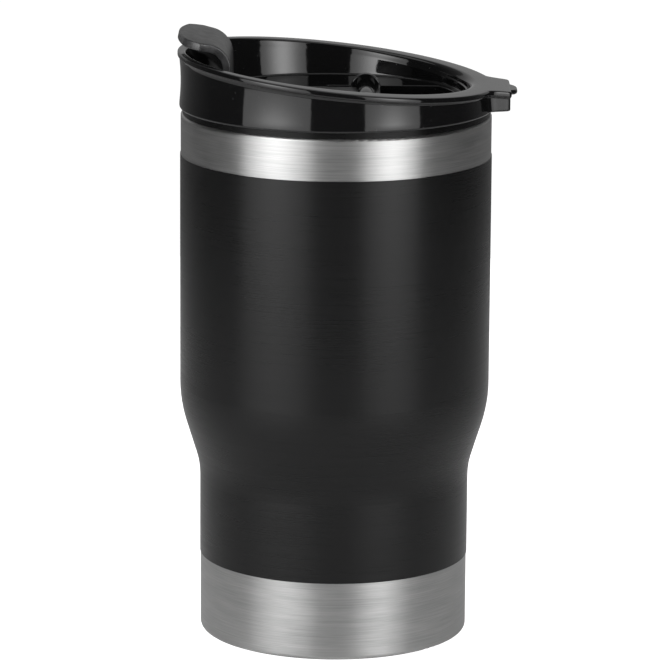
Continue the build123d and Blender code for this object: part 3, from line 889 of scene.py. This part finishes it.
# ---------------------------------------------------------------- studio
def make_camera():
    """Long lens a little above the lid, turned slightly about its own axis."""
    data = bpy.data.cameras.new("studio_camera")
    data.sensor_width = 36.0
    data.lens = 243.2
    data.clip_end = 20
    camera = bpy.data.objects.new("studio_camera", data)
    bpy.context.scene.collection.objects.link(camera)
    down, turn = radians(12.724), radians(0.394)
    forward = Vector((0, cos(down), -sin(down)))
    right = Vector((1, 0, 0))
    up = right.cross(forward)
    across = right * cos(turn) + up * sin(turn)
    upward = up * cos(turn) - right * sin(turn)
    axes = Matrix((across, upward, -forward)).transposed().to_4x4()
    camera.matrix_world = Matrix.Translation((0.00007, -1.2015, 0.35265)) @ axes
    bpy.context.scene.camera = camera


def softbox(name, at, aim, wide, high, radiance, core=0.0, core_height=0.5):
    """Rectangular soft light whose cloth glows more around the lamp behind it."""
    data = bpy.data.lights.new(name, "AREA")
    data.shape = "RECTANGLE"
    data.size = wide
    data.size_y = high
    data.energy = pi * wide * high
    data.use_nodes = True
    tree = data.node_tree
    glow = tree.nodes["Emission"]
    spot = tree.nodes.new("ShaderNodeNewGeometry").outputs["Parametric"]
    middle = tree.nodes.new("ShaderNodeVectorMath")
    middle.operation = "SUBTRACT"
    middle.inputs[1].default_value = (0.5, core_height, 0)
    tree.links.new(spot, middle.inputs[0])
    parts = tree.nodes.new("ShaderNodeSeparateXYZ")
    tree.links.new(middle.outputs[0], parts.inputs[0])
    across = maths(tree, "MULTIPLY", parts.outputs[0], parts.outputs[0])
    along = maths(tree, "MULTIPLY", parts.outputs[1], parts.outputs[1])
    reach = maths(tree, "ADD", across, along)
    falling = maths(tree, "POWER", 2.718, maths(tree, "MULTIPLY", reach, -14.0))
    strength = maths(tree, "ADD", maths(tree, "MULTIPLY", falling, core), radiance)
    tree.links.new(strength, glow.inputs["Strength"])
    light = bpy.data.objects.new(name, data)
    bpy.context.scene.collection.objects.link(light)
    facing = (Vector(aim) - Vector(at)).to_track_quat("-Z", "Y").to_matrix().to_4x4()
    light.matrix_world = Matrix.Translation(at) @ facing


def make_lights():
    """Two tall boxes in front, one to each side, a broad one overhead and a dim panel behind."""
    away = 0.55
    middle = 0.29
    for name, side, azimuth, wide in (("left_box", -1, 43.5, 0.53), ("right_box", 1, 40.5, 0.41)):
        turn = radians(azimuth)
        softbox(name, (side * away * sin(turn), -away * cos(turn), middle), (0, 0, middle), wide,
                2 * middle, radiance=1.4, core=4.8, core_height=0.45)
    softbox("overhead_box", (0.0, 0.1, 0.9), (0, 0, 0.15), 0.9, 0.7, radiance=0.8)
    softbox("back_panel", (0.0, 1.25, 0.46), (0, 0, 0.36), 2.6, 0.62, radiance=0.225)


def make_world():
    """White to the camera. In reflections, a dim studio that is lighter behind the mug."""
    world = bpy.data.worlds.new("studio")
    world.use_nodes = True
    tree = world.node_tree
    tree.nodes.clear()
    out = tree.nodes.new("ShaderNodeOutputWorld")
    seen = tree.nodes.new("ShaderNodeBackground")
    seen.inputs["Color"].default_value = (1, 1, 1, 1)
    seen.inputs["Strength"].default_value = 1.05
    unseen = tree.nodes.new("ShaderNodeBackground")
    unseen.inputs["Color"].default_value = (1, 1, 1, 1)
    way = tree.nodes.new("ShaderNodeSeparateXYZ")
    tree.links.new(tree.nodes.new("ShaderNodeTexCoord").outputs["Generated"], way.inputs[0])
    tree.links.new(spread(tree, way.outputs[1], 0.04, 0.16, 0.25, 0.95), unseen.inputs["Strength"])
    mix = tree.nodes.new("ShaderNodeMixShader")
    path = tree.nodes.new("ShaderNodeLightPath")
    tree.links.new(path.outputs["Is Camera Ray"], mix.inputs[0])
    tree.links.new(unseen.outputs[0], mix.inputs[1])
    tree.links.new(seen.outputs[0], mix.inputs[2])
    tree.links.new(mix.outputs[0], out.inputs[0])
    bpy.context.scene.world = world
    bpy.context.scene.view_settings.view_transform = "Standard"


def make_table():
    """Plain white table top, clear from underneath so that the mug's base can be looked at."""
    mesh = bpy.data.meshes.new("white_table")
    work = bmesh.new()
    bmesh.ops.create_circle(work, cap_ends=True, segments=96, radius=0.5)
    work.to_mesh(mesh)
    work.free()
    table = bpy.data.objects.new("white_table", mesh)
    table.location.z = cad_low.z - 0.0002
    bpy.context.scene.collection.objects.link(table)
    material = bpy.data.materials.new("white_table")
    material.use_nodes = True
    tree = material.node_tree
    shader = tree.nodes["Principled BSDF"]
    shader.inputs["Base Color"].default_value = (0.9, 0.9, 0.9, 1)
    shader.inputs["Roughness"].default_value = 0.7
    seen = tree.nodes.new("ShaderNodeLightPath").outputs["Is Camera Ray"]
    tree.links.new(maths(tree, "ADD", seen, 0.1), shader.inputs["Emission Strength"])
    shader.inputs["Emission Color"].default_value = (1, 1, 1, 1)
    clear = tree.nodes.new("ShaderNodeBsdfTransparent")
    mix = tree.nodes.new("ShaderNodeMixShader")
    tree.links.new(tree.nodes.new("ShaderNodeNewGeometry").outputs["Backfacing"], mix.inputs[0])
    tree.links.new(shader.outputs[0], mix.inputs[1])
    tree.links.new(clear.outputs[0], mix.inputs[2])
    tree.links.new(mix.outputs[0], tree.nodes["Material Output"].inputs["Surface"])
    mesh.materials.append(material)


# ---------------------------------------------------------------- assembly
make_camera()
finish_carried_nodes()
lid_pieces = [make_lid_rim(GLOSS), make_lug_tongue(GLOSS), make_well_floor(GLOSS), make_recess_walls(GLOSS),
              make_lever_seat(GLOSS), make_pocket_floor(GLOSS), make_drink_channel(GLOSS)]
lid_pieces += make_hinge_ears(GLOSS)
for piece in lid_pieces:
    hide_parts("lid_shell")
lever_pieces = [make_lever_blade(SATIN), make_lever_barrel(RUBBED), make_stop_heel(RUBBED),
                make_stopper_boss(SATIN), make_vent_peg(SATIN)]
for piece in lever_pieces:
    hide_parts("flip_lever")
make_world()
make_lights()
make_table()
